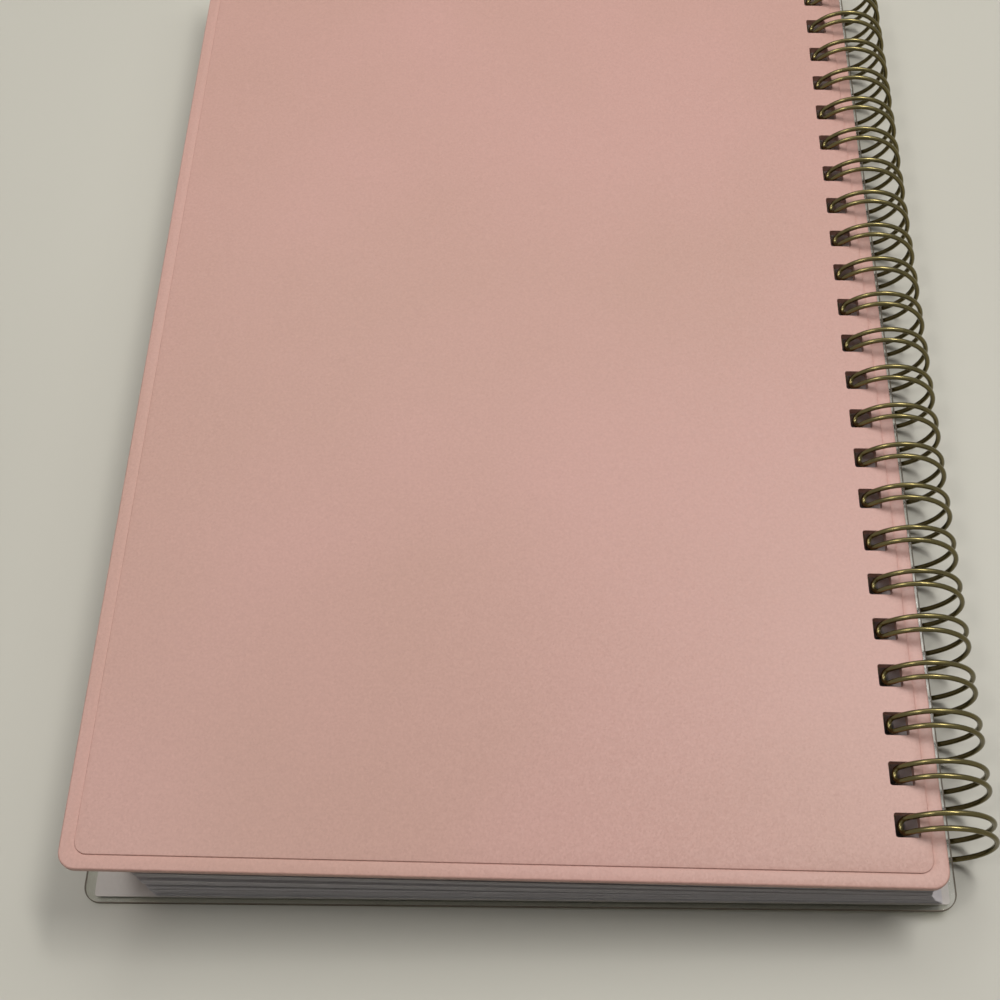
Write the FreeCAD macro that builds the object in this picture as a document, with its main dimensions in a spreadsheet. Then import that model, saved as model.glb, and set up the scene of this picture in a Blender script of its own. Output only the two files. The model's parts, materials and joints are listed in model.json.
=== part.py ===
import FreeCAD, Part
import math
import os
import Sketcher
from FreeCAD import Placement, Rotation, Vector

# A wire-bound weekly planner, closed and lying on its front cover, in millimetres.
# X runs across the book, Y along the spine, Z up. The origin is on the table, under the
# middle of the whole book.
#
# Everything hangs on the wire's rings, so each sheet is drawn in its own frame, whose origin
# is on the axis of the rings and whose Y is that axis. A sheet's fore edge is on its -X side.
# Its Placement then tilts it about that axis, because the leaves fan out towards the fore edge.

DRIVING_SIZES = [
    ("loops", 24, "double loops of wire"),
    ("pitch", 8.467, "loop to loop, three to the inch"),
    ("wire_dia", 0.9, "diameter of the wire"),
    ("ring_radius", 8.55, "radius of a loop, to the middle of the wire"),
    ("strand_half", 1.3, "half the distance between a loop's two strands"),
    ("base_bend", 1.2, "bend radius where a loop joins the next one"),
    ("hole_side", 4.0, "side of a square punched hole"),
    ("hole_corner", 0.4, "corner radius of a punched hole"),
    ("back_width", 139.7, "back cover, fore edge to spine edge"),
    ("back_height", 214.7, "back cover, head to foot"),
    ("back_edge", 0.65, "spine edge of the back cover, short of the ring axis"),
    ("back_web", 3.9, "board between a hole and the spine edge"),
    ("back_seat", 4.2, "inner face of the back cover, above the ring axis"),
    ("back_rim", 1.3, "thickness of the back cover's rim"),
    ("panel_rise", 0.15, "step from the rim up to the panel"),
    ("rim_width", 2.4, "width of the rim around the panel"),
    ("panel_corner", 2.2, "corner radius of the panel"),
    ("cover_corner", 3.0, "corner radius of the back cover and the clear sheet"),
    ("edge_round", 0.35, "rounding of the back cover's edges"),
    ("back_tilt", 2.3, "slope of the back cover, fore edge up, in degrees"),
    ("film_reach", 141.7, "fore edge of the clear sheet, from the ring axis"),
    ("film_edge", 2.95, "spine edge of the clear sheet, past the ring axis"),
    ("film_height", 215.4, "clear sheet, head to foot"),
    ("film_thick", 0.5, "thickness of the clear sheet"),
    ("film_seat", 7.0, "outer face of the clear sheet, below the ring axis"),
    ("front_tilt", 0.8088, "slope of the front cover, fore edge down, in degrees"),
    ("front_bow", 0.1, "how far the front cover's middle is bowed down below head and foot"),
    ("front_hole", 2.95, "near side of the front cover's holes, short of the ring axis"),
    ("card_thick", 0.3, "thickness of the title card"),
    ("card_corner", 0.6, "corner radius of the title card"),
    ("card_inset_fore", 2.1, "clear rim at the fore edge"),
    ("card_inset_ends", 1.0, "clear rim at head and foot"),
    ("card_inset_spine", 1.3, "clear rim at the spine edge"),
    ("leaf_width", 128.2, "a leaf, fore edge to spine edge"),
    ("leaf_height", 212.7, "a leaf, head to foot"),
    ("leaf_corner", 1.0, "corner radius of the leaves at the fore edge"),
    ("leaf_web", 3.6, "paper between a hole and the spine edge"),
    ("leaf_shift", 1.1, "far side of a leaf's hole, past the middle of the wire"),
    ("block_low", 6.05, "lowest leaf, below the ring axis"),
    ("block_high", 1.2, "highest leaf, above the ring axis"),
    ("fan_high", 8.49, "highest leaf at the fore edge, above the ring axis"),
    ("gap_fore", 1.1, "gap between two packs of leaves at the fore edge"),
    ("gap_spine", 0.12, "the same gap where the packs meet"),
    ("pack_depth", 14.0, "how far from the ring axis the packs meet"),
    ("pack_overlap", 1.0, "how far a pack runs into the joined leaves at the spine"),
    ("spine_stock", 3.0, "joined leaves past the ring axis, before they are trimmed"),
    ("cut_margin", 5.0, "how far a cutting shape runs past what it cuts"),
]

# Two lengths closer than this, in millimetres, are the same.
SNAP = 1e-4

# Polar angles about the ring axis, in degrees from +X towards +Z. A strand leaves its hairpin
# tip, goes over the top, round the spine side and under, and ends at the base.
TIP_ANGLE = 139.6
BASE_ANGLE = 165.5

# The packs of leaves, lowest first: share of the paper, shift along the spine, and how far
# the pack's fore edge follows the round of the rings towards the spine.
LEAF_PACKS = [
    (0.31, -0.10, 2.6),
    (0.26, 0.18, 0.7),
    (0.22, 0.00, 0.1),
    (0.21, 0.26, 0.0),
]


def make_sheet(doc):
    """Write the driving sizes into a spreadsheet, one row each."""
    sheet = doc.addObject("Spreadsheet::Sheet", "sizes")
    for row, (name, value, note) in enumerate(DRIVING_SIZES, start=1):
        sheet.set(f"A{row}", name)
        sheet.set(f"B{row}", str(value))
        sheet.set(f"C{row}", note)
        sheet.setAlias(f"B{row}", name)
    doc.recompute()
    return sheet


def bind(obj, **expressions):
    """Bind properties to expressions on the sheet; a double underscore stands for a dot."""
    for path, expression in expressions.items():
        obj.setExpression(path.replace("__", "."), expression)


def origin_feature(body, role):
    """Find a plane or an axis of a body's own origin."""
    for feature in body.Origin.OriginFeatures:
        if feature.Role == role:
            return feature
    raise ValueError(role)


def rounded_rectangle(body, name, level, left, right, low, high, radius):
    """Sketch a rectangle with round corners on the body's XY plane, raised to a level."""
    sketch = body.newObject("Sketcher::SketchObject", name)
    sketch.AttachmentSupport = [(origin_feature(body, "XY_Plane"), "")]
    sketch.MapMode = "FlatFace"
    bind(sketch, AttachmentOffset__Base__z=level)
    line = Part.LineSegment
    quarter = math.pi / 2
    # A starting shape of any size: its sides are this far out and end where its corners begin.
    # The constraints below give the real sizes.
    out, end = 5.0, 4.0
    sides = [
        line(Vector(-end, -out, 0), Vector(end, -out, 0)),
        line(Vector(out, -end, 0), Vector(out, end, 0)),
        line(Vector(end, out, 0), Vector(-end, out, 0)),
        line(Vector(-out, end, 0), Vector(-out, -end, 0)),
    ]
    centres = [(end, -end), (end, end), (-end, end), (-end, -end)]
    for side in sides:
        sketch.addGeometry(side, False)
    for turn, (across, along) in enumerate(centres):
        circle = Part.Circle(Vector(across, along, 0), Vector(0, 0, 1), out - end)
        start = (turn - 1) * quarter
        sketch.addGeometry(Part.ArcOfCircle(circle, start, start + quarter), False)
    for index in range(4):
        arc = index + 4
        following = (index + 1) % 4
        sketch.addConstraint(Sketcher.Constraint("Tangent", index, 2, arc, 1))
        sketch.addConstraint(Sketcher.Constraint("Tangent", arc, 2, following, 1))
    for index in (0, 2):
        sketch.addConstraint(Sketcher.Constraint("Horizontal", index))
        sketch.addConstraint(Sketcher.Constraint("Vertical", index + 1))
    for arc in (5, 6, 7):
        sketch.addConstraint(Sketcher.Constraint("Equal", 4, arc))
    measures = [
        ("radius", Sketcher.Constraint("Radius", 4, out - end), radius),
        ("low", Sketcher.Constraint("DistanceY", -1, 1, 0, 1, -out), low),
        ("right", Sketcher.Constraint("DistanceX", -1, 1, 1, 1, out), right),
        ("high", Sketcher.Constraint("DistanceY", -1, 1, 2, 1, out), high),
        ("left", Sketcher.Constraint("DistanceX", -1, 1, 3, 1, -out), left),
    ]
    for label, constraint, expression in measures:
        index = sketch.addConstraint(constraint)
        sketch.renameConstraint(index, label)
        sketch.setExpression(f"Constraints.{label}", expression)
    return sketch


def pad(body, name, sketch, length):
    """Raise a sketch into a plate."""
    feature = body.newObject("PartDesign::Pad", name)
    feature.Profile = sketch
    bind(feature, Length=length)
    return feature


def punch_holes(body, level, left, right):
    """Punch the row of square holes down through a plate that is no higher than a level."""
    first = "sizes.pitch * (sizes.loops - 1) / 2"
    hole = rounded_rectangle(
        body, "hole_outline", level, left, right,
        f"-{first} - sizes.hole_side / 2",
        f"-{first} + sizes.hole_side / 2",
        "sizes.hole_corner",
    )
    pocket = body.newObject("PartDesign::Pocket", "first_hole")
    pocket.Profile = hole
    pocket.Type = "ThroughAll"
    body.Document.recompute()
    row = body.newObject("PartDesign::LinearPattern", "hole_row")
    row.Originals = [pocket]
    row.Direction = (origin_feature(body, "Y_Axis"), [""])
    bind(row, Length="sizes.pitch * (sizes.loops - 1)", Occurrences="sizes.loops")
    body.Tip = row
    return row


def edges_at(shape, level):
    """Name the edges of a shape that lie flat at a level."""
    names = []
    for index, edge in enumerate(shape.Edges, start=1):
        box = edge.BoundBox
        if abs(box.ZMin - level) < SNAP and abs(box.ZMax - level) < SNAP:
            names.append(f"Edge{index}")
    return names


def place_on_axis(obj, tilt):
    """Move an object's own frame onto the ring axis and tilt it, fore edge up if positive.

    The rings stand on the table, and the book reaches as far each way from the origin: to the
    outside of the rings one way, and to the fore edge of the clear sheet the other."""
    radius = "(sizes.ring_radius + sizes.wire_dia / 2)"
    slope = "(sizes.front_tilt * 1 deg)"
    fore = f"(sizes.film_reach * cos({slope}) - sizes.film_seat * sin({slope}))"
    obj.Placement = Placement(Vector(), Rotation(Vector(0, 1, 0), 1))
    bind(obj, Placement__Base__x=f"({fore} - {radius}) / 2", Placement__Base__z=radius)
    bind(obj, Placement__Rotation__Angle=tilt)


def make_back_cover(doc):
    """The stiff pink board: a rim all round and a panel that stands a little above it."""
    body = doc.addObject("PartDesign::Body", "back_cover")
    left = "-sizes.back_edge - sizes.back_width"
    half = "sizes.back_height / 2"
    plate = rounded_rectangle(
        body, "board_outline", "sizes.back_seat", left, "-sizes.back_edge", f"-{half}", half,
        "sizes.cover_corner",
    )
    board = pad(body, "board", plate, "sizes.back_rim")
    doc.recompute()
    rim_top = "sizes.back_seat + sizes.back_rim"
    seat = doc.sizes.back_seat
    names = edges_at(board.Shape, seat) + edges_at(board.Shape, seat + doc.sizes.back_rim)
    rounding = body.newObject("PartDesign::Fillet", "soft_edges")
    rounding.Base = (board, names)
    bind(rounding, Radius="sizes.edge_round")
    doc.recompute()
    panel = rounded_rectangle(
        body, "panel_outline", rim_top, f"{left} + sizes.rim_width",
        "-sizes.back_edge - sizes.rim_width", f"-{half} + sizes.rim_width",
        f"{half} - sizes.rim_width", "sizes.panel_corner",
    )
    pad(body, "panel", panel, "sizes.panel_rise")
    doc.recompute()
    near = "-sizes.back_edge - sizes.back_web"
    punch_holes(body, f"{rim_top} + sizes.panel_rise", f"{near} - sizes.hole_side", near)
    place_on_axis(body, "sizes.back_tilt")
    return body


def bowed_section(body, depth, thick, left, half):
    """Sketch the side view of a bowed sheet, across the book at its left edge.

    The sheets of the front cover are bowed about one line. The radius of the outermost face
    follows from the depth of the bow over the length of the clear sheet. A depth counts from
    that face."""
    sheet = body.Document.sizes
    radius = (sheet.film_height / 2) ** 2 / (2 * sheet.front_bow)
    bow_radius = "pow(sizes.film_height / 2; 2) / (2 * sizes.front_bow)"
    outer = f"{bow_radius} - ({depth})"
    axis = f"{bow_radius} - sizes.film_seat"
    sketch = body.newObject("Sketcher::SketchObject", "side_view")
    sketch.AttachmentSupport = [(origin_feature(body, "YZ_Plane"), "")]
    sketch.MapMode = "FlatFace"
    bind(sketch, AttachmentOffset__Base__z=left)
    # A starting shape as long as the clear sheet, whose two faces are one millimetre apart.
    reach = sheet.film_height / 2
    centre = Vector(0, radius, 0)
    spread = math.asin(reach / radius)
    middle = 1.5 * math.pi
    for size in (radius, radius - 1):
        circle = Part.Circle(centre, Vector(0, 0, 1), size)
        sketch.addGeometry(Part.ArcOfCircle(circle, middle - spread, middle + spread), False)
    for side in (-reach, reach):
        sketch.addGeometry(Part.LineSegment(Vector(side, 0, 0), Vector(side, 1, 0)), False)
    for face, end in ((0, 1), (1, 2)):
        for side in (0, 1):
            sketch.addConstraint(Sketcher.Constraint("Coincident", face, side + 1, side + 2, end))
    sketch.addConstraint(Sketcher.Constraint("Vertical", 2))
    sketch.addConstraint(Sketcher.Constraint("Vertical", 3))
    sketch.addConstraint(Sketcher.Constraint("Coincident", 0, 3, 1, 3))
    sketch.addConstraint(Sketcher.Constraint("PointOnObject", 0, 3, -2))
    measures = [
        ("outer", Sketcher.Constraint("Radius", 0, radius), outer),
        ("inner", Sketcher.Constraint("Radius", 1, radius - 1), f"{outer} - {thick}"),
        ("axis", Sketcher.Constraint("DistanceY", -1, 1, 0, 3, radius), axis),
        ("foot", Sketcher.Constraint("DistanceX", -1, 1, 2, 1, -reach), f"-({half})"),
        ("head", Sketcher.Constraint("DistanceX", -1, 1, 3, 1, reach), half),
    ]
    for label, constraint, expression in measures:
        index = sketch.addConstraint(constraint)
        sketch.renameConstraint(index, label)
        sketch.setExpression(f"Constraints.{label}", expression)
    return sketch


def upright_edges(shape):
    """Name the edges of a shape that stand upright."""
    names = []
    for index, edge in enumerate(shape.Edges, start=1):
        if edge.BoundBox.XLength < SNAP and edge.BoundBox.YLength < SNAP:
            names.append(f"Edge{index}")
    return names


def make_front_sheet(doc, name, depth, thick, corner, inset_fore, inset_ends, inset_spine):
    """A thin punched sheet of the front cover, inset from the outline of the clear sheet."""
    body = doc.addObject("PartDesign::Body", name)
    left = f"-sizes.film_reach + {inset_fore}"
    half = f"sizes.film_height / 2 - {inset_ends}"
    side_view = bowed_section(body, depth, thick, left, half)
    plate = pad(body, "plate", side_view, f"sizes.film_edge - {inset_spine} - ({left})")
    doc.recompute()
    corners = body.newObject("PartDesign::Fillet", "round_corners")
    corners.Base = (plate, upright_edges(plate.Shape))
    bind(corners, Radius=corner)
    doc.recompute()
    far = "-sizes.front_hole - sizes.hole_side"
    above = "0"
    punch_holes(body, above, far, "-sizes.front_hole")
    place_on_axis(body, "-sizes.front_tilt")
    return body


def make_clear_sheet(doc):
    """The clear plastic sheet that is the outside of the front cover."""
    return make_front_sheet(
        doc, "clear_sheet", "0", "sizes.film_thick", "sizes.cover_corner", "0", "0", "0",
    )


def make_title_card(doc):
    """The title card behind the clear sheet, a little smaller than it."""
    return make_front_sheet(
        doc, "title_card", "sizes.film_thick", "sizes.card_thick", "sizes.card_corner",
        "sizes.card_inset_fore", "sizes.card_inset_ends", "sizes.card_inset_spine",
    )


def stack_height(share, distance):
    """Height of a leaf at a distance from the ring axis; its share counts from the lowest leaf.

    The lowest leaf lies along the front cover and the highest rises towards the fore edge."""
    low = f"(-sizes.block_low - ({distance}) * tan(sizes.front_tilt * 1 deg))"
    rise = "(sizes.fan_high - sizes.block_high) / sizes.leaf_width"
    high = f"(sizes.block_high + ({distance}) * {rise})"
    return f"({low} + ({high} - {low}) * {share})"


def make_wedge(doc, name, start, end, low, high, shift, gap_start, gap_end):
    """A pack of leaves that thickens from one distance off the ring axis to another."""
    wedge = doc.addObject("Part::Wedge", name)
    half = "sizes.leaf_height / 2"
    bind(wedge, Ymin=start, Ymax=end)
    bind(wedge, Xmin=f"-{half} + {shift}", X2min=f"-{half} + {shift}")
    bind(wedge, Xmax=f"{half} + {shift}", X2max=f"{half} + {shift}")
    bind(wedge, Zmin=f"{stack_height(low, start)} + {gap_start}")
    bind(wedge, Z2min=f"{stack_height(low, end)} + {gap_end}")
    bind(wedge, Zmax=stack_height(high, start), Z2max=stack_height(high, end))
    wedge.Placement = Placement(Vector(), Rotation(Vector(0, 0, 1), 90))
    return wedge


def round_fore_corners(doc, pack, radius):
    """Round the two upright edges of a pack at the fore edge."""
    doc.recompute()
    fore = pack.Shape.BoundBox.XMin
    edges = []
    for index, edge in enumerate(pack.Shape.Edges, start=1):
        if edge.BoundBox.XMax < fore + SNAP and edge.BoundBox.YLength < SNAP:
            edges.append((index, radius, radius))
    rounded = doc.addObject("Part::Fillet", f"{pack.Name}_rounded")
    rounded.Base = pack
    rounded.Edges = edges
    return rounded


def ring_cylinder(doc, name, offset, height):
    """A solid cylinder of the rings' radius along the spine, its axis moved by an offset in X."""
    cylinder = doc.addObject("Part::Cylinder", name)
    bind(cylinder, Radius="sizes.ring_radius", Height=height)
    cylinder.Placement = Placement(Vector(), Rotation(Vector(1, 0, 0), -90))
    bind(cylinder, Placement__Base__x=offset, Placement__Base__y=f"-({height}) / 2")
    return cylinder


def linked_row(doc, source, name):
    """Repeat an object at every loop of the spine."""
    links = []
    for number in range(int(doc.sizes.loops)):
        link = doc.addObject("App::Link", f"{name}_{number + 1:02d}")
        link.LinkedObject = source
        bind(link, Placement__Base__y=f"sizes.pitch * ({number} - (sizes.loops - 1) / 2)")
        links.append(link)
    return links


def make_page_block(doc):
    """The leaves: four packs that fan out from the spine, punched where the rings pass."""
    sheet = doc.sizes
    hole_near = "(sizes.hole_side - sizes.leaf_shift)"
    parts = []
    below = 0.0
    for number, (share, shift, follow) in enumerate(LEAF_PACKS, start=1):
        gaps = ("0", "0") if number == 1 else ("sizes.gap_spine", "sizes.gap_fore")
        reach = f"sizes.leaf_width + sizes.ring_radius - {hole_near} - sizes.leaf_web - {follow}"
        pack = make_wedge(
            doc, f"leaf_pack_{number}", "sizes.pack_depth - sizes.pack_overlap", reach,
            round(below, 3), round(below + share, 3), shift, *gaps,
        )
        parts.append(round_fore_corners(doc, pack, sheet.leaf_corner))
        below += share
    parts.append(make_wedge(
        doc, "leaves_at_spine", "-sizes.spine_stock", "sizes.pack_depth", 0, 1, 0, "0", "0",
    ))
    leaves = doc.addObject("Part::MultiFuse", "leaves")
    leaves.Shapes = parts
    past_leaves = "sizes.leaf_height + 2 * sizes.cut_margin"
    beyond = ring_cylinder(doc, "beyond_spine_edge", f"{hole_near} + sizes.leaf_web", past_leaves)
    trimmed = doc.addObject("Part::Cut", "leaves_trimmed")
    trimmed.Base = leaves
    trimmed.Tool = beyond
    slot = doc.addObject("Part::Cut", "hole_through_leaves")
    slot.Base = ring_cylinder(doc, "hole_far_side", "-sizes.leaf_shift", "sizes.hole_side")
    past_slot = "sizes.hole_side + 2 * sizes.cut_margin"
    slot.Tool = ring_cylinder(doc, "hole_near_side", hole_near, past_slot)
    slots = doc.addObject("Part::MultiFuse", "holes_through_leaves")
    slots.Shapes = linked_row(doc, slot, "leaf_hole")
    block = doc.addObject("Part::Cut", "page_block")
    block.Base = trimmed
    block.Tool = slots
    place_on_axis(block, "0")
    return block


def polar_frame(angle, radius, along_spine, x_axis, y_sense):
    """Placement on the ring: local X along the spine, local Y along the ring, both with a sign."""
    turn = Rotation(Vector(0, -1, 0), angle)
    centre = turn.multVec(Vector(radius, 0, 0))
    centre.y = along_spine
    local_x = Vector(0, x_axis, 0)
    local_y = turn.multVec(Vector(0, 0, y_sense))
    return Placement(centre, Rotation(local_x, local_y, local_x.cross(local_y)))


def make_bend(doc, name, radius, sweep, placement):
    """A bend of the wire: part of a torus."""
    bend = doc.addObject("Part::Torus", name)
    bind(bend, Radius1=radius, Radius2="sizes.wire_dia / 2", Angle3=str(sweep))
    bend.Placement = placement
    return bend


def make_wire_binding(doc):
    """One continuous wire: double loops with a hairpin tip, joined by short runs at the base."""
    sheet = doc.sizes
    strand = sheet.strand_half
    bend = sheet.base_bend
    ring = sheet.ring_radius
    run = "sizes.pitch / 2 - sizes.strand_half - sizes.base_bend"
    sweep = 360 - (BASE_ANGLE - TIP_ANGLE)
    tip = polar_frame(TIP_ANGLE, ring, 0, 1, 1)
    pieces = [make_bend(doc, "hairpin_tip", "sizes.strand_half", 180, tip)]
    for side in (-1, 1):
        end = "head" if side > 0 else "foot"
        around = Rotation(Vector(0, -1, 0), BASE_ANGLE).multiply(Rotation(Vector(1, 0, 0), 90))
        circle = Placement(Vector(0, side * strand, 0), around)
        pieces.append(make_bend(doc, f"strand_{end}", "sizes.ring_radius", sweep, circle))
        corner = polar_frame(BASE_ANGLE, ring, side * (strand + bend), -side, -1)
        pieces.append(make_bend(doc, f"base_bend_{end}", "sizes.base_bend", 90, corner))
        rod = doc.addObject("Part::Cylinder", f"base_run_{end}")
        bind(rod, Radius="sizes.wire_dia / 2", Height=run)
        start = corner.multVec(Vector(0, bend, 0))
        rod.Placement = Placement(start, Rotation(Vector(1, 0, 0), -90 * side))
        pieces.append(rod)
    loop = doc.addObject("Part::MultiFuse", "double_loop")
    loop.Shapes = pieces
    doc.recompute()
    binding = doc.addObject("Part::MultiFuse", "wire_binding")
    binding.Shapes = linked_row(doc, loop, "loop")
    place_on_axis(binding, "0")
    return binding


def check(doc, nodes):
    """Stop if any object failed, or a node isn't one valid solid."""
    for obj in doc.Objects:
        if "Invalid" in obj.State or "Error" in obj.State:
            raise RuntimeError(f"{obj.Name}: {obj.State}")
    for node in nodes:
        shape = node.Shape
        if shape.isNull() or not shape.isValid() or len(shape.Solids) != 1:
            raise RuntimeError(f"{node.Label}: null, not valid or not one solid")


def main():
    doc = FreeCAD.newDocument("weekly_planner")
    make_sheet(doc)
    nodes = [
        make_back_cover(doc),
        make_clear_sheet(doc),
        make_title_card(doc),
        make_page_block(doc),
        make_wire_binding(doc),
    ]
    doc.recompute()
    check(doc, nodes)
    os.makedirs("parts", exist_ok=True)
    for node in nodes:
        node.Shape.exportStep(f"parts/{node.Label}.step")
        box = node.Shape.BoundBox
        print(
            f"{node.Label}: {node.Shape.Volume / 1000:.2f} cm3, "
            f"x {box.XMin:.2f} to {box.XMax:.2f}, y {box.YMin:.2f} to {box.YMax:.2f}, "
            f"z {box.ZMin:.3f} to {box.ZMax:.3f}"
        )


main()
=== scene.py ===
# %% [markdown]
# # A wire-bound weekly planner
#
# The planner lies closed on its clear front cover, with its stiff pink back cover on top. A
# double-loop bronze wire holds it together along one side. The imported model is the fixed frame:
# it gives the axis that both covers turn on, and the place of every sheet. This lesson keeps the
# two flat front sheets of that frame and gives them their real materials. It models the back
# cover, the leaves and the wire anew, because those three carry the detail that the eye goes to.

# %% The frame
import json
import math
import random

import bpy
from mathutils import Matrix, Vector


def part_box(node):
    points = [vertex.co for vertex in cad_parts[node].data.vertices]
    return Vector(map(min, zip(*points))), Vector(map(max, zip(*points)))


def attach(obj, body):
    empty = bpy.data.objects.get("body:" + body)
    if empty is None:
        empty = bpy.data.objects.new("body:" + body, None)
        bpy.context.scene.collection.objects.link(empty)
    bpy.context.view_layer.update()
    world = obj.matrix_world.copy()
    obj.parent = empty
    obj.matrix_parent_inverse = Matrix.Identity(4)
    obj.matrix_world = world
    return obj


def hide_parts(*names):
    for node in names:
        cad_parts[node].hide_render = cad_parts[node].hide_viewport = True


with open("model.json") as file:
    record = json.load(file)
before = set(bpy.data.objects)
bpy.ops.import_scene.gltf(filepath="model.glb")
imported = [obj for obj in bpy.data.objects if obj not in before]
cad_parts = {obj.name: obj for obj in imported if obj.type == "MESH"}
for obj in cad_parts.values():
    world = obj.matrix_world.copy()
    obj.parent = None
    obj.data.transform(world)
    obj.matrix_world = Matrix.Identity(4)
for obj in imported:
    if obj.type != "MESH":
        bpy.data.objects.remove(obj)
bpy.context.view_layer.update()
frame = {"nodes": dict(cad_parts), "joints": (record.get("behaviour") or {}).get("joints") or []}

MM = 0.001
random.seed(24)
print("nodes:", sorted(frame["nodes"]))

# %% [markdown]
# ## Measures from the frame
#
# Every sheet hangs on the rings, and each lies at its own small slope. So it is easiest to work
# in the book's own axes: the origin on the ring axis, X across the book, Y along the spine. A
# node of the frame is measured by turning its vertices back by its slope, which gives its real
# width, length and thickness. Only what a box can't tell, such as a corner's radius, is a named
# value here.

# %% Measures from the frame
RING_AXIS = Vector(frame["joints"][0]["pos_m"])
BACK_SLOPE = math.radians(2.3)
LOOPS = 24
PITCH = 8.467 * MM
HOLE = 4.0 * MM
HOLE_CORNER = 0.4 * MM


def flat_box(node, slope=0.0):
    """Lowest and highest corner of a node about the ring axis, once it is turned back to flat."""
    turn_back = Matrix.Rotation(-slope, 3, "Y")
    points = [turn_back @ (v.co - RING_AXIS) for v in frame["nodes"][node].data.vertices]
    low = Vector([min(p[k] for p in points) for k in range(3)])
    high = Vector([max(p[k] for p in points) for k in range(3)])
    return low, high


BOARD_LOW, BOARD_HIGH = flat_box("back_cover", BACK_SLOPE)
print("back cover, mm:", [round(size / MM, 2) for size in BOARD_HIGH - BOARD_LOW])

# %% [markdown]
# ## Small helpers
#
# Operators act on whatever is selected, so each step first selects exactly what it works on.
# Faces and edges are picked by where they are. A cut with another mesh is a Boolean modifier
# that is applied at once.

# %% Small helpers


def only(obj):
    """Select one object, and nothing else, and make it active."""
    bpy.ops.object.select_all(action="DESELECT")
    obj.select_set(True)
    bpy.context.view_layer.objects.active = obj


def pick(obj, kind, test):
    """Go to edit mode with just those vertices, edges or faces picked whose corners all pass."""
    only(obj)
    bpy.ops.object.mode_set(mode="EDIT")
    bpy.ops.mesh.select_mode(type=kind)
    bpy.ops.mesh.select_all(action="DESELECT")
    bpy.ops.object.mode_set(mode="OBJECT")
    mesh = obj.data
    parts = {"VERT": mesh.vertices, "EDGE": mesh.edges, "FACE": mesh.polygons}[kind]
    for part in parts:
        corners = [part.index] if kind == "VERT" else part.vertices
        part.select = all(test(mesh.vertices[c].co) for c in corners)
    bpy.ops.object.mode_set(mode="EDIT")


def settle(obj):
    """Put an object's place, turn and size into its mesh."""
    only(obj)
    bpy.ops.object.transform_apply(location=True, rotation=True, scale=True)


def finish_modifier(obj, kind, **settings):
    """Add a modifier and apply it."""
    only(obj)
    modifier = obj.modifiers.new(kind.lower(), kind)
    for name, value in settings.items():
        setattr(modifier, name, value)
    bpy.ops.object.modifier_apply(modifier=modifier.name)


def combine(obj, tool, operation):
    """Cut with a tool, or fuse it on, and throw the tool away."""
    finish_modifier(obj, "BOOLEAN", object=tool, operation=operation, solver="EXACT")
    bpy.data.objects.remove(tool)


def rounded_slab(name, low, high, corner, steps=8, rounded=lambda point: True):
    """A flat slab between two corners, with its upright edges rounded."""
    size = high - low
    middle = (low + high) / 2
    bpy.ops.object.select_all(action="DESELECT")
    bpy.ops.mesh.primitive_plane_add(size=1, location=(middle.x, middle.y, low.z))
    slab = bpy.context.object
    slab.name = name
    slab.scale = (size.x, size.y, 1)
    settle(slab)
    pick(slab, "VERT", rounded)
    bpy.ops.mesh.bevel(affect="VERTICES", offset=corner, segments=steps)
    bpy.ops.mesh.select_all(action="SELECT")
    bpy.ops.mesh.extrude_region_move(TRANSFORM_OT_translate={"value": (0, 0, size.z)})
    bpy.ops.mesh.select_all(action="SELECT")
    bpy.ops.mesh.normals_make_consistent(inside=False)
    bpy.ops.object.mode_set(mode="OBJECT")
    return slab


def punch_row(left, bottom, top):
    """The punches for the whole row of square holes, as one tool."""
    first = -(LOOPS - 1) / 2 * PITCH
    low = Vector((left, first - HOLE / 2, bottom))
    high = Vector((left + HOLE, first + HOLE / 2, top))
    punches = rounded_slab("punches", low, high, HOLE_CORNER, steps=3)
    finish_modifier(
        punches, "ARRAY", count=LOOPS, use_relative_offset=False, use_constant_offset=True,
        constant_offset_displace=(0, PITCH, 0),
    )
    return punches


# %% [markdown]
# ## The back cover
#
# The back cover is a stiff moulded sheet with rounded edges. A shallow crease runs all round,
# 2.4 mm in from the edge, and inside it the panel stands a little proud of the rim. A cube with a
# bevel would miss that crease, and the crease is what draws the line round the whole cover. So
# the rim is a slab with rounded edges, a tool with sloping sides cuts the crease, and the panel
# is fused on as a thin slab of its own. The holes are punched last, through everything.

# %% The back cover
COVER_CORNER = 3.0 * MM
PANEL_CORNER = 2.2 * MM
EDGE_ROUND = 0.34 * MM
RIM_WIDTH = 2.4 * MM
PANEL_RISE = 0.15 * MM
CREASE_WIDTH = 0.38 * MM
CREASE_DEPTH = 0.09 * MM
BACK_WEB = 3.9 * MM

rim_top = BOARD_HIGH.z - PANEL_RISE
board = rounded_slab(
    "pearl_back_cover", BOARD_LOW, Vector((BOARD_HIGH.x, BOARD_HIGH.y, rim_top)), COVER_CORNER
)
for level in (BOARD_LOW.z, rim_top):
    pick(board, "EDGE", lambda point: abs(point.z - level) < 0.01 * MM)
    bpy.ops.mesh.bevel(affect="EDGES", offset=EDGE_ROUND, segments=4)
    bpy.ops.object.mode_set(mode="OBJECT")

inset = Vector((RIM_WIDTH, RIM_WIDTH, 0))
panel_low = BOARD_LOW + inset
panel_high = BOARD_HIGH - inset
panel_low.z = rim_top - CREASE_DEPTH
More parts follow.
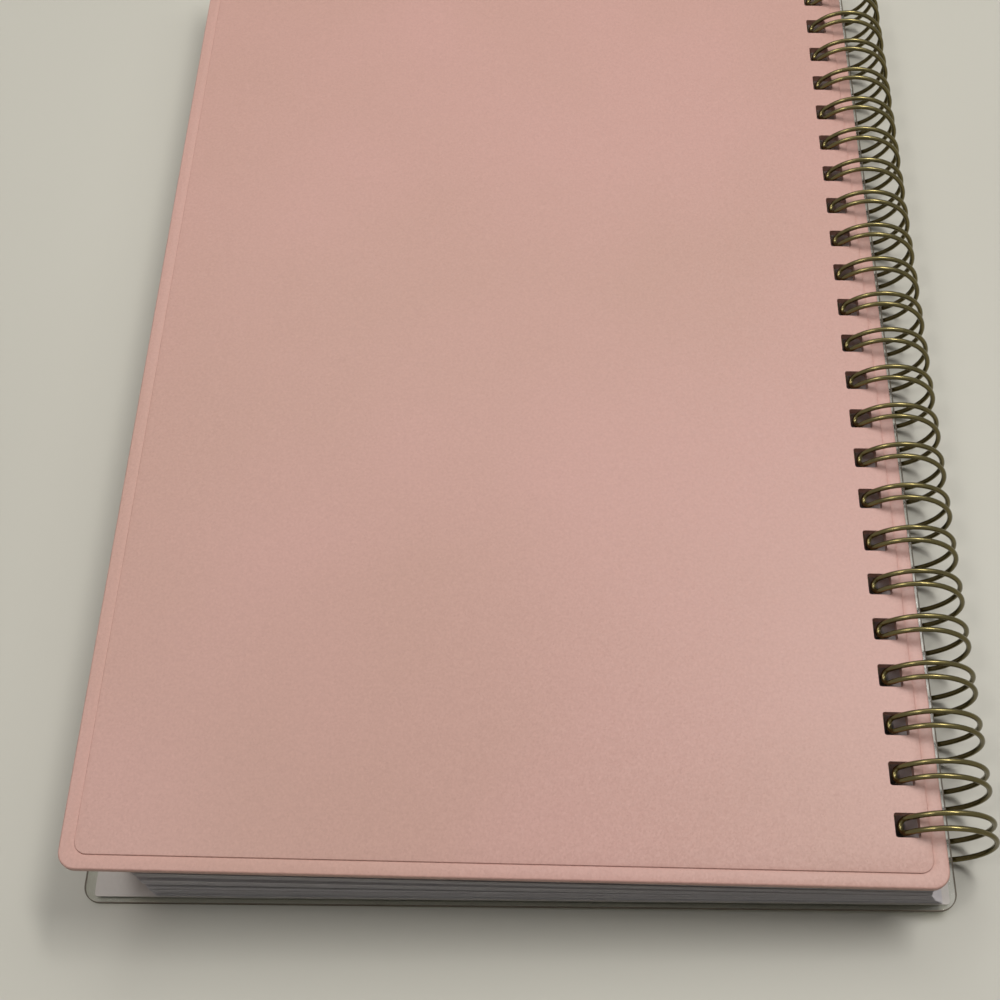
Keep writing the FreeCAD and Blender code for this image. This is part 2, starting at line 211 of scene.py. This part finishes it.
# The tool is as wide as the panel at its foot. Its sides slope, so that the crease is
# CREASE_WIDTH wide where they come out through the rim.
crease = rounded_slab("crease_tool", panel_low, panel_high, PANEL_CORNER)
pick(crease, "VERT", lambda point: point.z > rim_top)
wide = (panel_high - panel_low) + Vector((1, 1, 0)) * 2 * CREASE_WIDTH * (
    (PANEL_RISE + CREASE_DEPTH) / CREASE_DEPTH
)
bpy.ops.transform.resize(
    value=(wide.x / (panel_high - panel_low).x, wide.y / (panel_high - panel_low).y, 1),
    center_override=tuple((panel_low + panel_high) / 2),
)
bpy.ops.object.mode_set(mode="OBJECT")
combine(board, crease, "DIFFERENCE")

panel_low.z = rim_top - 2 * CREASE_DEPTH
panel = rounded_slab("panel", panel_low, panel_high, PANEL_CORNER)
pick(panel, "EDGE", lambda point: point.z > rim_top)
bpy.ops.mesh.bevel(affect="EDGES", offset=0.8 * PANEL_RISE, segments=3)
bpy.ops.object.mode_set(mode="OBJECT")
combine(board, panel, "UNION")
combine(
    board,
    punch_row(BOARD_HIGH.x - BACK_WEB - HOLE, BOARD_LOW.z - MM, BOARD_HIGH.z + MM),
    "DIFFERENCE",
)
board.rotation_euler = (0, BACK_SLOPE, 0)
board.location = RING_AXIS
settle(board)
bpy.ops.object.shade_smooth_by_angle(angle=math.radians(35))
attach(board, "back_cover")
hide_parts("back_cover")
print("back cover:", len(board.data.polygons), "faces")

# %% [markdown]
# ## The leaves
#
# The leaves are loose sheets of white paper, and their cut edges are what shows: fine bright
# lines with thin shadows between. One solid block can't give that, so each leaf is a sheet of its
# own. The first leaf is punched once and copied. It is a little thicker at the fore edge, where
# it stands for a sheet and the air that it holds. Each copy turns a little more than the one
# below, because the leaves lie tight at the wire and fan out to the fore edge. Their spine edges
# follow the curve of the rings, and their fore edges lie nearly flush, the lower packs standing
# back a little. Four packs with wider gaps between them show where the book was last opened.

# %% The leaves
RING_RADIUS = 8.55 * MM
LEAF_COUNT = 72
LEAF_THICK = 0.085 * MM
LEAF_SWELL = 1.9
LEAF_CORNER = 1.0 * MM
LEAF_WEB = 3.6 * MM
LEAF_HOLE_LEFT = -1.1 * MM
LOWEST_LEAF = -6.02 * MM
HIGHEST_LEAF = 1.1 * MM
SLACK = 0.12 * MM
LEAF_SHUFFLE = 0.1 * MM
FRONT_SLOPE = math.radians(0.8088)
PACK_GAP = 1.6 * MM
# For each pack, lowest first: its share of the leaves, how far it sits along the spine, and how
# far its fore edge stands back.
PACKS = [
    (0.31, -0.10 * MM, 0.5 * MM),
    (0.26, 0.0, 0.2 * MM),
    (0.22, 0.10 * MM, 0.0),
    (0.21, 0.20 * MM, 0.0),
]

page_low, page_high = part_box("page_block")
leaf_length = page_high.y - page_low.y - (PACKS[3][1] - PACKS[0][1])
leaf_right = LEAF_HOLE_LEFT + HOLE + LEAF_WEB
fore_edge = RING_AXIS.x - page_low.x
leaf_left = RING_RADIUS + SLACK - fore_edge
lowest_fore = LOWEST_LEAF - fore_edge * math.tan(FRONT_SLOPE)
highest_fore = page_high.z - RING_AXIS.z - SLACK
first_leaf = rounded_slab(
    "leaf",
    Vector((leaf_left, -leaf_length / 2, 0)),
    Vector((leaf_right, leaf_length / 2, LEAF_THICK)),
    LEAF_CORNER, steps=5, rounded=lambda point: point.x < 0,
)
combine(first_leaf, punch_row(LEAF_HOLE_LEFT, -MM, MM), "DIFFERENCE")
pick(first_leaf, "VERT", lambda point: point.x < leaf_left + LEAF_CORNER + SLACK)
bpy.ops.transform.resize(value=(1, 1, LEAF_SWELL), center_override=(0, 0, 0))
bpy.ops.object.mode_set(mode="OBJECT")


def leaf_heights(share, pack_from, pack_to, gap):
    """Height at the wire and at the fore edge of the leaf that lies at this share of its pack."""
    part = pack_from + share * (pack_to - pack_from)
    at_wire = LOWEST_LEAF + part * (HIGHEST_LEAF - LOWEST_LEAF)
    fan = highest_fore - lowest_fore
    at_fore = lowest_fore + pack_from * fan + gap + share * ((pack_to - pack_from) * fan - gap)
    return at_wire, at_fore


leaves = []
pack_from = 0.0
for number, (portion, along, back) in enumerate(PACKS):
    pack_to = pack_from + portion
    count = round(LEAF_COUNT * pack_to) - round(LEAF_COUNT * pack_from)
    for index in range(count):
        share = (index + random.uniform(0.25, 0.75)) / count
        at_wire, at_fore = leaf_heights(share, pack_from, pack_to, PACK_GAP if number else 0)
        on_ring = -math.sqrt(RING_RADIUS ** 2 - at_wire ** 2)
        length = fore_edge - back - random.uniform(0, 2) * SLACK + on_ring
        only(first_leaf)
        bpy.ops.object.duplicate()
        leaf = bpy.context.object
        leaf.scale.x = length / -leaf_left
        leaf.rotation_euler = (0, math.atan2(at_fore - at_wire, length), 0)
        leaf.location = RING_AXIS + Vector((
            on_ring, along + random.uniform(-LEAF_SHUFFLE, LEAF_SHUFFLE), at_wire
        ))
        leaves.append(leaf)
    pack_from = pack_to
bpy.data.objects.remove(first_leaf)
bpy.ops.object.select_all(action="DESELECT")
for leaf in leaves:
    leaf.select_set(True)
bpy.context.view_layer.objects.active = leaves[0]
bpy.ops.object.transform_apply(location=True, rotation=True, scale=True)
bpy.ops.object.join()
pages = bpy.context.object
pages.name = "paper_leaves"
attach(pages, "book_block")
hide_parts("page_block")
print("leaves:", len(leaves), "sheets,", len(pages.data.polygons), "faces")

# %% [markdown]
# ## The wire
#
# The binding is one continuous wire, bent into a comb of double loops and then closed round the
# holes. Each loop is a hairpin: from its tip two strands run side by side round the spine, drift
# a little apart, and turn sideways at the base to meet the next loop. So half a loop is drawn by
# spinning the wire's round section: a quarter turn for the tip, most of a turn for the strand
# about an axis that leans a little, and a quarter turn for the base. A mirror makes the other
# half, and an array the other loops, merged end to end.

# %% The wire
WIRE_RADIUS = 0.45 * MM
WIRE_SIDES = 12
TIP_HALF_WIDTH = 1.17 * MM
STRAND_DRIFT = 0.37 * MM
BASE_BEND = 1.2 * MM
TIP_ANGLE = math.radians(139.6)
BASE_ANGLE = math.radians(165.5)


def ring_directions(angle):
    """Outward and onward directions at a place on the rings, turned from +X towards +Z."""
    outward = Vector((math.cos(angle), 0, math.sin(angle)))
    onward = Vector((-math.sin(angle), 0, math.cos(angle)))
    return outward, onward


def spin_end(point, centre, axis, angle, steps):
    """Spin the picked end of the wire on about an axis, and give the point that went along.

    The operator turns the other way from a rotation matrix, so its angle changes sign."""
    bpy.ops.mesh.spin(steps=steps, angle=-angle, center=tuple(centre), axis=tuple(axis))
    return centre + Matrix.Rotation(angle, 3, axis) @ (point - centre)


outward, onward = ring_directions(TIP_ANGLE)
tip_centre = RING_AXIS + RING_RADIUS * outward
tip = tip_centre + TIP_HALF_WIDTH * onward
along_spine = Vector((0, 1, 0))
bpy.ops.object.select_all(action="DESELECT")
bpy.ops.mesh.primitive_circle_add(
    vertices=WIRE_SIDES, radius=WIRE_RADIUS, location=tip, rotation=(math.radians(90), 0, 0)
)
wire = bpy.context.object
wire.name = "bronze_wire"
settle(wire)
bpy.ops.object.mode_set(mode="EDIT")
bpy.ops.mesh.select_all(action="SELECT")

# The quarter of the hairpin, towards the head of the book.
end = spin_end(tip, tip_centre, outward, -math.pi / 2, 6)
# The strand. Its circle leans about the onward direction, so that it drifts away from its twin.
lean = math.asin(STRAND_DRIFT / (2 * RING_RADIUS))
inward = -(outward * math.cos(lean) - along_spine * math.sin(lean))
strand_axis = along_spine * math.cos(lean) + outward * math.sin(lean)
sweep = 2 * math.pi - (BASE_ANGLE - TIP_ANGLE)
end = spin_end(end, end + RING_RADIUS * inward, strand_axis, sweep, 56)
# The bend at the base, and the short run to half way to the next loop.
base_outward, base_onward = ring_directions(BASE_ANGLE)
end = spin_end(end, end + BASE_BEND * along_spine, base_outward, math.pi / 2, 5)
half_way = RING_AXIS.y + PITCH / 2
bpy.ops.mesh.extrude_region_move(TRANSFORM_OT_translate={"value": (0, half_way - end.y, 0)})
bpy.ops.transform.resize(value=(1, 0, 1), center_override=(end.x, half_way, end.z))
bpy.ops.object.mode_set(mode="OBJECT")
print("half a loop ends at, mm:", [round(v / MM, 2) for v in end - RING_AXIS])

# %% All the loops
finish_modifier(
    wire, "MIRROR", use_axis=(False, True, False), use_mirror_merge=True,
    merge_threshold=0.01 * MM,
)
wire.location.y = -(LOOPS - 1) / 2 * PITCH
settle(wire)
finish_modifier(
    wire, "ARRAY", count=LOOPS, use_relative_offset=False, use_constant_offset=True,
    constant_offset_displace=(0, PITCH, 0), use_merge_vertices=True,
    merge_threshold=0.01 * MM,
)
only(wire)
bpy.ops.object.mode_set(mode="EDIT")
bpy.ops.mesh.select_all(action="SELECT")
bpy.ops.mesh.fill_holes(sides=WIRE_SIDES)
bpy.ops.mesh.select_all(action="SELECT")
bpy.ops.mesh.normals_make_consistent(inside=False)
bpy.ops.object.mode_set(mode="OBJECT")
bpy.ops.object.shade_smooth_by_angle(angle=math.radians(60))
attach(wire, "book_block")
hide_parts("wire_binding")
print("wire:", len(wire.data.polygons), "faces")

# %% [markdown]
# ## Materials
#
# One function turns a written colour into linear values, and one adds a node with its settings
# and links. Patterns read Object coordinates, which are metres in the book's own frame, so a
# pattern's scale is one over its real size. A Mix node has its sockets for every kind of data,
# so its two colours are inputs 6 and 7, and its mixed colour is output 2.

# %% Material helpers


def linear(colour):
    """An sRGB hex colour as linear red, green, blue and alpha."""
    values = []
    for start in (0, 2, 4):
        value = int(colour[start:start + 2], 16) / 255
        values.append(value / 12.92 if value <= 0.04045 else ((value + 0.055) / 1.055) ** 2.4)
    return (*values, 1.0)


def add_node(tree, kind, values=None, links=None, **properties):
    """Add a node, set its properties and sockets, and link other nodes' outputs to it."""
    node = tree.nodes.new(kind)
    for name, value in properties.items():
        setattr(node, name, value)
    for socket, value in (values or {}).items():
        node.inputs[socket].default_value = value
    for socket, output in (links or {}).items():
        tree.links.new(output, node.inputs[socket])
    return node


def start_material(name, **values):
    """A material with one Principled shader, and the Object coordinates for its patterns."""
    material = bpy.data.materials.new(name)
    material.use_nodes = True
    tree = material.node_tree
    shader = tree.nodes["Principled BSDF"]
    for socket, value in values.items():
        shader.inputs[socket.replace("_", " ")].default_value = value
    place = add_node(tree, "ShaderNodeTexCoord").outputs["Object"]
    return material, tree, shader, place


def paint(obj, material):
    """Give a piece this one material."""
    obj.data.materials.clear()
    obj.data.materials.append(material)


# %% [markdown]
# ## Pearl plastic
#
# The back cover is a plastic sheet with mica in it. The mica gives it a soft sheen, with tiny
# flakes that flash when they happen to face the lamp. Each cell of a Voronoi pattern is a flake
# with its own tilt, and the tilt turns the normal of the sheet. The colour is almost even, with
# faint clouds some centimetres across where it looks more pink or more grey.

# %% Pearl plastic
FLAKE_SIZE = 0.30 * MM
FLAKE_TILT = 0.16
GRAIN_SIZE = 0.5 * MM
CLOUD_SIZE = 60 * MM

pearl, tree, shader, place = start_material(
    "pearl_plastic_sheet", Roughness=0.5, Coat_Weight=0.12, Coat_Roughness=0.3
)
clouds = add_node(
    tree, "ShaderNodeTexNoise", {"Scale": 1 / CLOUD_SIZE, "Detail": 2.0}, {"Vector": place}
)
cloud_tone = add_node(
    tree, "ShaderNodeMapRange", {"From Min": 0.35, "From Max": 0.65},
    {"Value": clouds.outputs["Fac"]},
)
base = add_node(
    tree, "ShaderNodeMix", {6: linear("c69c8f"), 7: linear("cc9f95")},
    {0: cloud_tone.outputs["Result"]}, data_type="RGBA",
)
grain = add_node(
    tree, "ShaderNodeTexNoise", {"Scale": 1 / GRAIN_SIZE, "Detail": 3.0}, {"Vector": place}
)
flakes = add_node(
    tree, "ShaderNodeTexVoronoi", {"Scale": 1 / FLAKE_SIZE}, {"Vector": place}
)
tone = add_node(
    tree, "ShaderNodeMapRange", {"From Min": 0.3, "From Max": 0.7, "To Min": 0.965, "To Max": 1.035},
    {"Value": grain.outputs["Fac"]},
)
shade = add_node(
    tree, "ShaderNodeVectorMath", {}, {0: base.outputs[2], "Scale": tone.outputs["Result"]},
    operation="SCALE",
)
tree.links.new(shade.outputs["Vector"], shader.inputs["Base Color"])
centred = add_node(
    tree, "ShaderNodeVectorMath", {1: (0.5, 0.5, 0.5)}, {0: flakes.outputs["Color"]},
    operation="SUBTRACT",
)
tilt = add_node(
    tree, "ShaderNodeVectorMath", {"Scale": FLAKE_TILT}, {0: centred.outputs["Vector"]},
    operation="SCALE",
)
surface = add_node(tree, "ShaderNodeNewGeometry").outputs["Normal"]
tilted = add_node(
    tree, "ShaderNodeVectorMath", {}, {0: surface, 1: tilt.outputs["Vector"]}, operation="ADD"
)
normal = add_node(
    tree, "ShaderNodeVectorMath", {}, {0: tilted.outputs["Vector"]}, operation="NORMALIZE"
)
tree.links.new(normal.outputs["Vector"], shader.inputs["Normal"])
paint(board, pearl)
print("material:", pearl.name)

# %% [markdown]
# ## Paper, card and clear film
#
# The leaves are uncoated paper: matt and faintly warm, with a fibre grain too fine to see, drawn
# here a little coarser. The title card is smoother, and a pale warm grey. The clear sheet is a
# plastic film. Light passes almost straight through it, so its alpha is low, and for shadow rays
# and diffuse rays it is simply transparent: Cycles would give it a black shadow otherwise. What
# shows of such a film is its cut edge, which holds the light inside and looks dark. That dark look
# is painted: a thin rim of the outline is a second, dull material, whose brownish grey is partly the
# cut edge's own dull tone and partly painted shade. The rim is found by the distance to a rectangle
# with round corners.

# %% Paper, card and clear film
FIBRE_SIZE = 0.6 * MM


def paper_material(name, bright, dull, roughness):
    """Paper or card: two close tones, mixed by a fine fibre noise."""
    material, tree, shader, place = start_material(name, Roughness=roughness)
    fibres = add_node(
        tree, "ShaderNodeTexNoise", {"Scale": 1 / FIBRE_SIZE, "Detail": 4.0}, {"Vector": place}
    )
    colour = add_node(
        tree, "ShaderNodeMix", {6: linear(dull), 7: linear(bright)},
        {0: fibres.outputs["Fac"]}, data_type="RGBA",
    )
    tree.links.new(colour.outputs[2], shader.inputs["Base Color"])
    bump = add_node(
        tree, "ShaderNodeBump", {"Strength": 0.15, "Distance": 0.02 * MM},
        {"Height": fibres.outputs["Fac"]},
    )
    tree.links.new(bump.outputs["Normal"], shader.inputs["Normal"])
    return material


paint(pages, paper_material("uncoated_paper", "d6d2d4", "c9c5c8", 0.85))
paint(frame["nodes"]["title_card"], paper_material("smooth_pale_card", "ddd7d1", "d3cdc7", 0.6))

FILM_RIM = 0.16 * MM
FILM_CORNER = 3.0 * MM

film, tree, shader, place = start_material(
    "clear_plastic_film", Roughness=0.16, Transmission_Weight=1.0, IOR=1.5, Alpha=0.3
)
shader.inputs["Base Color"].default_value = linear("f6f6f2")
film_low, film_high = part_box("clear_sheet")
middle = (film_low + film_high) / 2
reach = (film_high - film_low) / 2 - Vector((1, 1, 0)) * FILM_CORNER
from_middle = add_node(
    tree, "ShaderNodeVectorMath", {1: (middle.x, middle.y, 0)}, {0: place}, operation="SUBTRACT"
)
folded = add_node(
    tree, "ShaderNodeVectorMath", {}, {0: from_middle.outputs["Vector"]}, operation="ABSOLUTE"
)
past_corner = add_node(
    tree, "ShaderNodeVectorMath", {1: (reach.x, reach.y, 1)}, {0: folded.outputs["Vector"]},
    operation="SUBTRACT",
)
outside = add_node(
    tree, "ShaderNodeVectorMath", {1: (0, 0, 0)}, {0: past_corner.outputs["Vector"]},
    operation="MAXIMUM",
)
distance = add_node(
    tree, "ShaderNodeVectorMath", {}, {0: outside.outputs["Vector"]}, operation="LENGTH"
)
on_rim = add_node(
    tree, "ShaderNodeMath", {1: FILM_CORNER - FILM_RIM}, {0: distance.outputs["Value"]},
    operation="GREATER_THAN",
)
# The rim's brownish grey is partly the cut edge's own dull tone and partly painted shade.
cut_edge_and_painted_shade = add_node(tree, "ShaderNodeBsdfDiffuse", {"Color": linear("7d7469")})
sheet = add_node(
    tree, "ShaderNodeMixShader", {},
    {0: on_rim.outputs["Value"], 1: shader.outputs["BSDF"], 2: cut_edge_and_painted_shade.outputs["BSDF"]},
)
path = add_node(tree, "ShaderNodeLightPath").outputs
straight = add_node(
    tree, "ShaderNodeMath", {}, {0: path["Is Shadow Ray"], 1: path["Is Diffuse Ray"]},
    operation="MAXIMUM",
)
see_through = add_node(tree, "ShaderNodeBsdfTransparent", {"Color": linear("e2e2dc")})
both = add_node(
    tree, "ShaderNodeMixShader", {},
    {0: straight.outputs["Value"], 1: sheet.outputs["Shader"], 2: see_through.outputs["BSDF"]},
)
tree.links.new(both.outputs["Shader"], tree.nodes["Material Output"].inputs["Surface"])
paint(frame["nodes"]["clear_sheet"], film)
print("materials: paper, card and film")

# %% [markdown]
# ## Bronze wire
#
# The wire is steel with an antique bronze coat: a dark, brownish green metal that is only
# bright where it mirrors a lamp. The coat is thin and a little uneven, so its tone and its
# roughness drift along the wire.

# %% Bronze wire
PATINA_SIZE = 2.5 * MM

bronze, tree, shader, place = start_material("antique_bronze_wire", Metallic=1.0, Roughness=0.2)
patina = add_node(
    tree, "ShaderNodeTexNoise", {"Scale": 1 / PATINA_SIZE, "Detail": 3.0}, {"Vector": place}
)
colour = add_node(
    tree, "ShaderNodeMix", {6: linear("5f573a"), 7: linear("7d724a")},
    {0: patina.outputs["Fac"]}, data_type="RGBA",
)
tree.links.new(colour.outputs[2], shader.inputs["Base Color"])
gloss = add_node(
    tree, "ShaderNodeMapRange", {"To Min": 0.16, "To Max": 0.26}, {"Value": patina.outputs["Fac"]}
)
tree.links.new(gloss.outputs["Result"], shader.inputs["Roughness"])
paint(wire, bronze)
print("material:", bronze.name)

# %% [markdown]
# ## The table
#
# The planner lies on a plain pale desk with very faint smudges. It is stage, not part of the
# object, and only as wide as its surroundings need, so that the pale room shows beyond it.

# %% The table
TABLE_SIZE = 1300 * MM
SMUDGE_SIZE = 120 * MM

bpy.ops.object.select_all(action="DESELECT")
bpy.ops.mesh.primitive_plane_add(size=TABLE_SIZE, location=(0, 0, 0))
table = bpy.context.object
table.name = "table"
desk, tree, shader, place = start_material("pale_desk", Roughness=0.5)
smudges = add_node(
    tree, "ShaderNodeTexNoise", {"Scale": 1 / SMUDGE_SIZE, "Detail": 2.0}, {"Vector": place}
)
colour = add_node(
    tree, "ShaderNodeMix", {6: linear("c6c3b8"), 7: linear("cccabf")},
    {0: smudges.outputs["Fac"]}, data_type="RGBA",
)
tree.links.new(colour.outputs[2], shader.inputs["Base Color"])
paint(table, desk)
print("table, m:", round(TABLE_SIZE, 2))

# %% [markdown]
# ## Camera and light
#
# The camera looks down on the foot of the book from in front, close enough that the head end
# runs out of the picture. Long ceiling lamps stand beyond the book, to its left and to its right.
# They mirror softly in the cover and throw the shadows of the wire and of the cover towards the
# camera, and a small lamp to the left, a little nearer the camera, opens those shadows. The
# powers are worked out so that the shares of all the lamps and of the world add up to about one,
# at which a colour renders about as it is written. The room itself is pale to the camera and in
# mirrored light, and gives the object hardly any light of its own.

# %% Camera and light
CAMERA_PLACE = Vector((9.3, -167.4, 241.9)) * MM
CAMERA_AIM = Vector((-5.6, -41.1, 20.0)) * MM
CAMERA_ROLL = math.radians(-6.0)

bpy.ops.object.camera_add(location=CAMERA_PLACE)
camera = bpy.context.object
camera.data.lens = 52.2
camera.data.sensor_width = 36.0
camera.data.clip_start = 0.01
look = (CAMERA_AIM - CAMERA_PLACE).to_track_quat("-Z", "Y").to_matrix()
camera.rotation_euler = (look @ Matrix.Rotation(CAMERA_ROLL, 3, "Z")).to_euler()
bpy.context.scene.camera = camera

LAMP_AIM = Vector((0, -20, 10)) * MM


def add_lamp(name, bearing, elevation, distance, width, depth, share, colour):
    """A soft lamp that lights a level sheet with this share of a plain light."""
    across = math.cos(math.radians(elevation))
    direction = Vector((
        across * math.sin(math.radians(bearing)),
        across * math.cos(math.radians(bearing)),
        math.sin(math.radians(elevation)),
    ))
    bpy.ops.object.light_add(type="AREA", location=LAMP_AIM + distance * direction)
    lamp = bpy.context.object
    lamp.name = name
    lamp.data.shape = "RECTANGLE"
    lamp.data.size = width
    lamp.data.size_y = depth
    lamp.data.color = linear(colour)[:3]
    lamp.data.energy = share * math.pi ** 2 * distance ** 2 / direction.z
    lamp.rotation_euler = direction.to_track_quat("Z", "Y").to_euler()


# For each lamp: where it stands (bearing and elevation in degrees, distance in metres), how wide
# and how deep it is in metres, its share of a plain light, and its colour.
add_lamp("north_lamp", 24, 58, 0.68, 1.0, 0.2, 0.31, "fffdf8")
add_lamp("west_lamp", -60, 58, 0.73, 0.53, 0.14, 0.13, "fffdfa")
add_lamp("east_lamp", 61, 65, 1.1, 0.55, 0.12, 0.36, "fffdfa")
add_lamp("front_lamp", 248, 66, 0.86, 0.25, 0.12, 0.16, "fffdfa")

# The share of a plain light that the room gives, and how bright it looks.
WORLD_SHARE = 0.03
BACKDROP = 0.52
world = bpy.data.worlds.new("pale_room")
bpy.context.scene.world = world
world.use_nodes = True
tree = world.node_tree
room = tree.nodes["Background"]
room.inputs["Color"].default_value = linear("fcfdff")
path = add_node(tree, "ShaderNodeLightPath").outputs
mirrored = add_node(
    tree, "ShaderNodeMath", {}, {0: path["Is Glossy Ray"], 1: path["Is Transmission Ray"]},
    operation="ADD",
)
seen = add_node(
    tree, "ShaderNodeMath", {}, {0: path["Is Camera Ray"], 1: mirrored.outputs["Value"]},
    operation="ADD",
)
level = add_node(
    tree, "ShaderNodeMapRange", {"To Min": WORLD_SHARE, "To Max": BACKDROP},
    {"Value": seen.outputs["Value"]},
)
tree.links.new(level.outputs["Result"], room.inputs["Strength"])

# %% Finish
bpy.context.scene.view_settings.view_transform = "Standard"
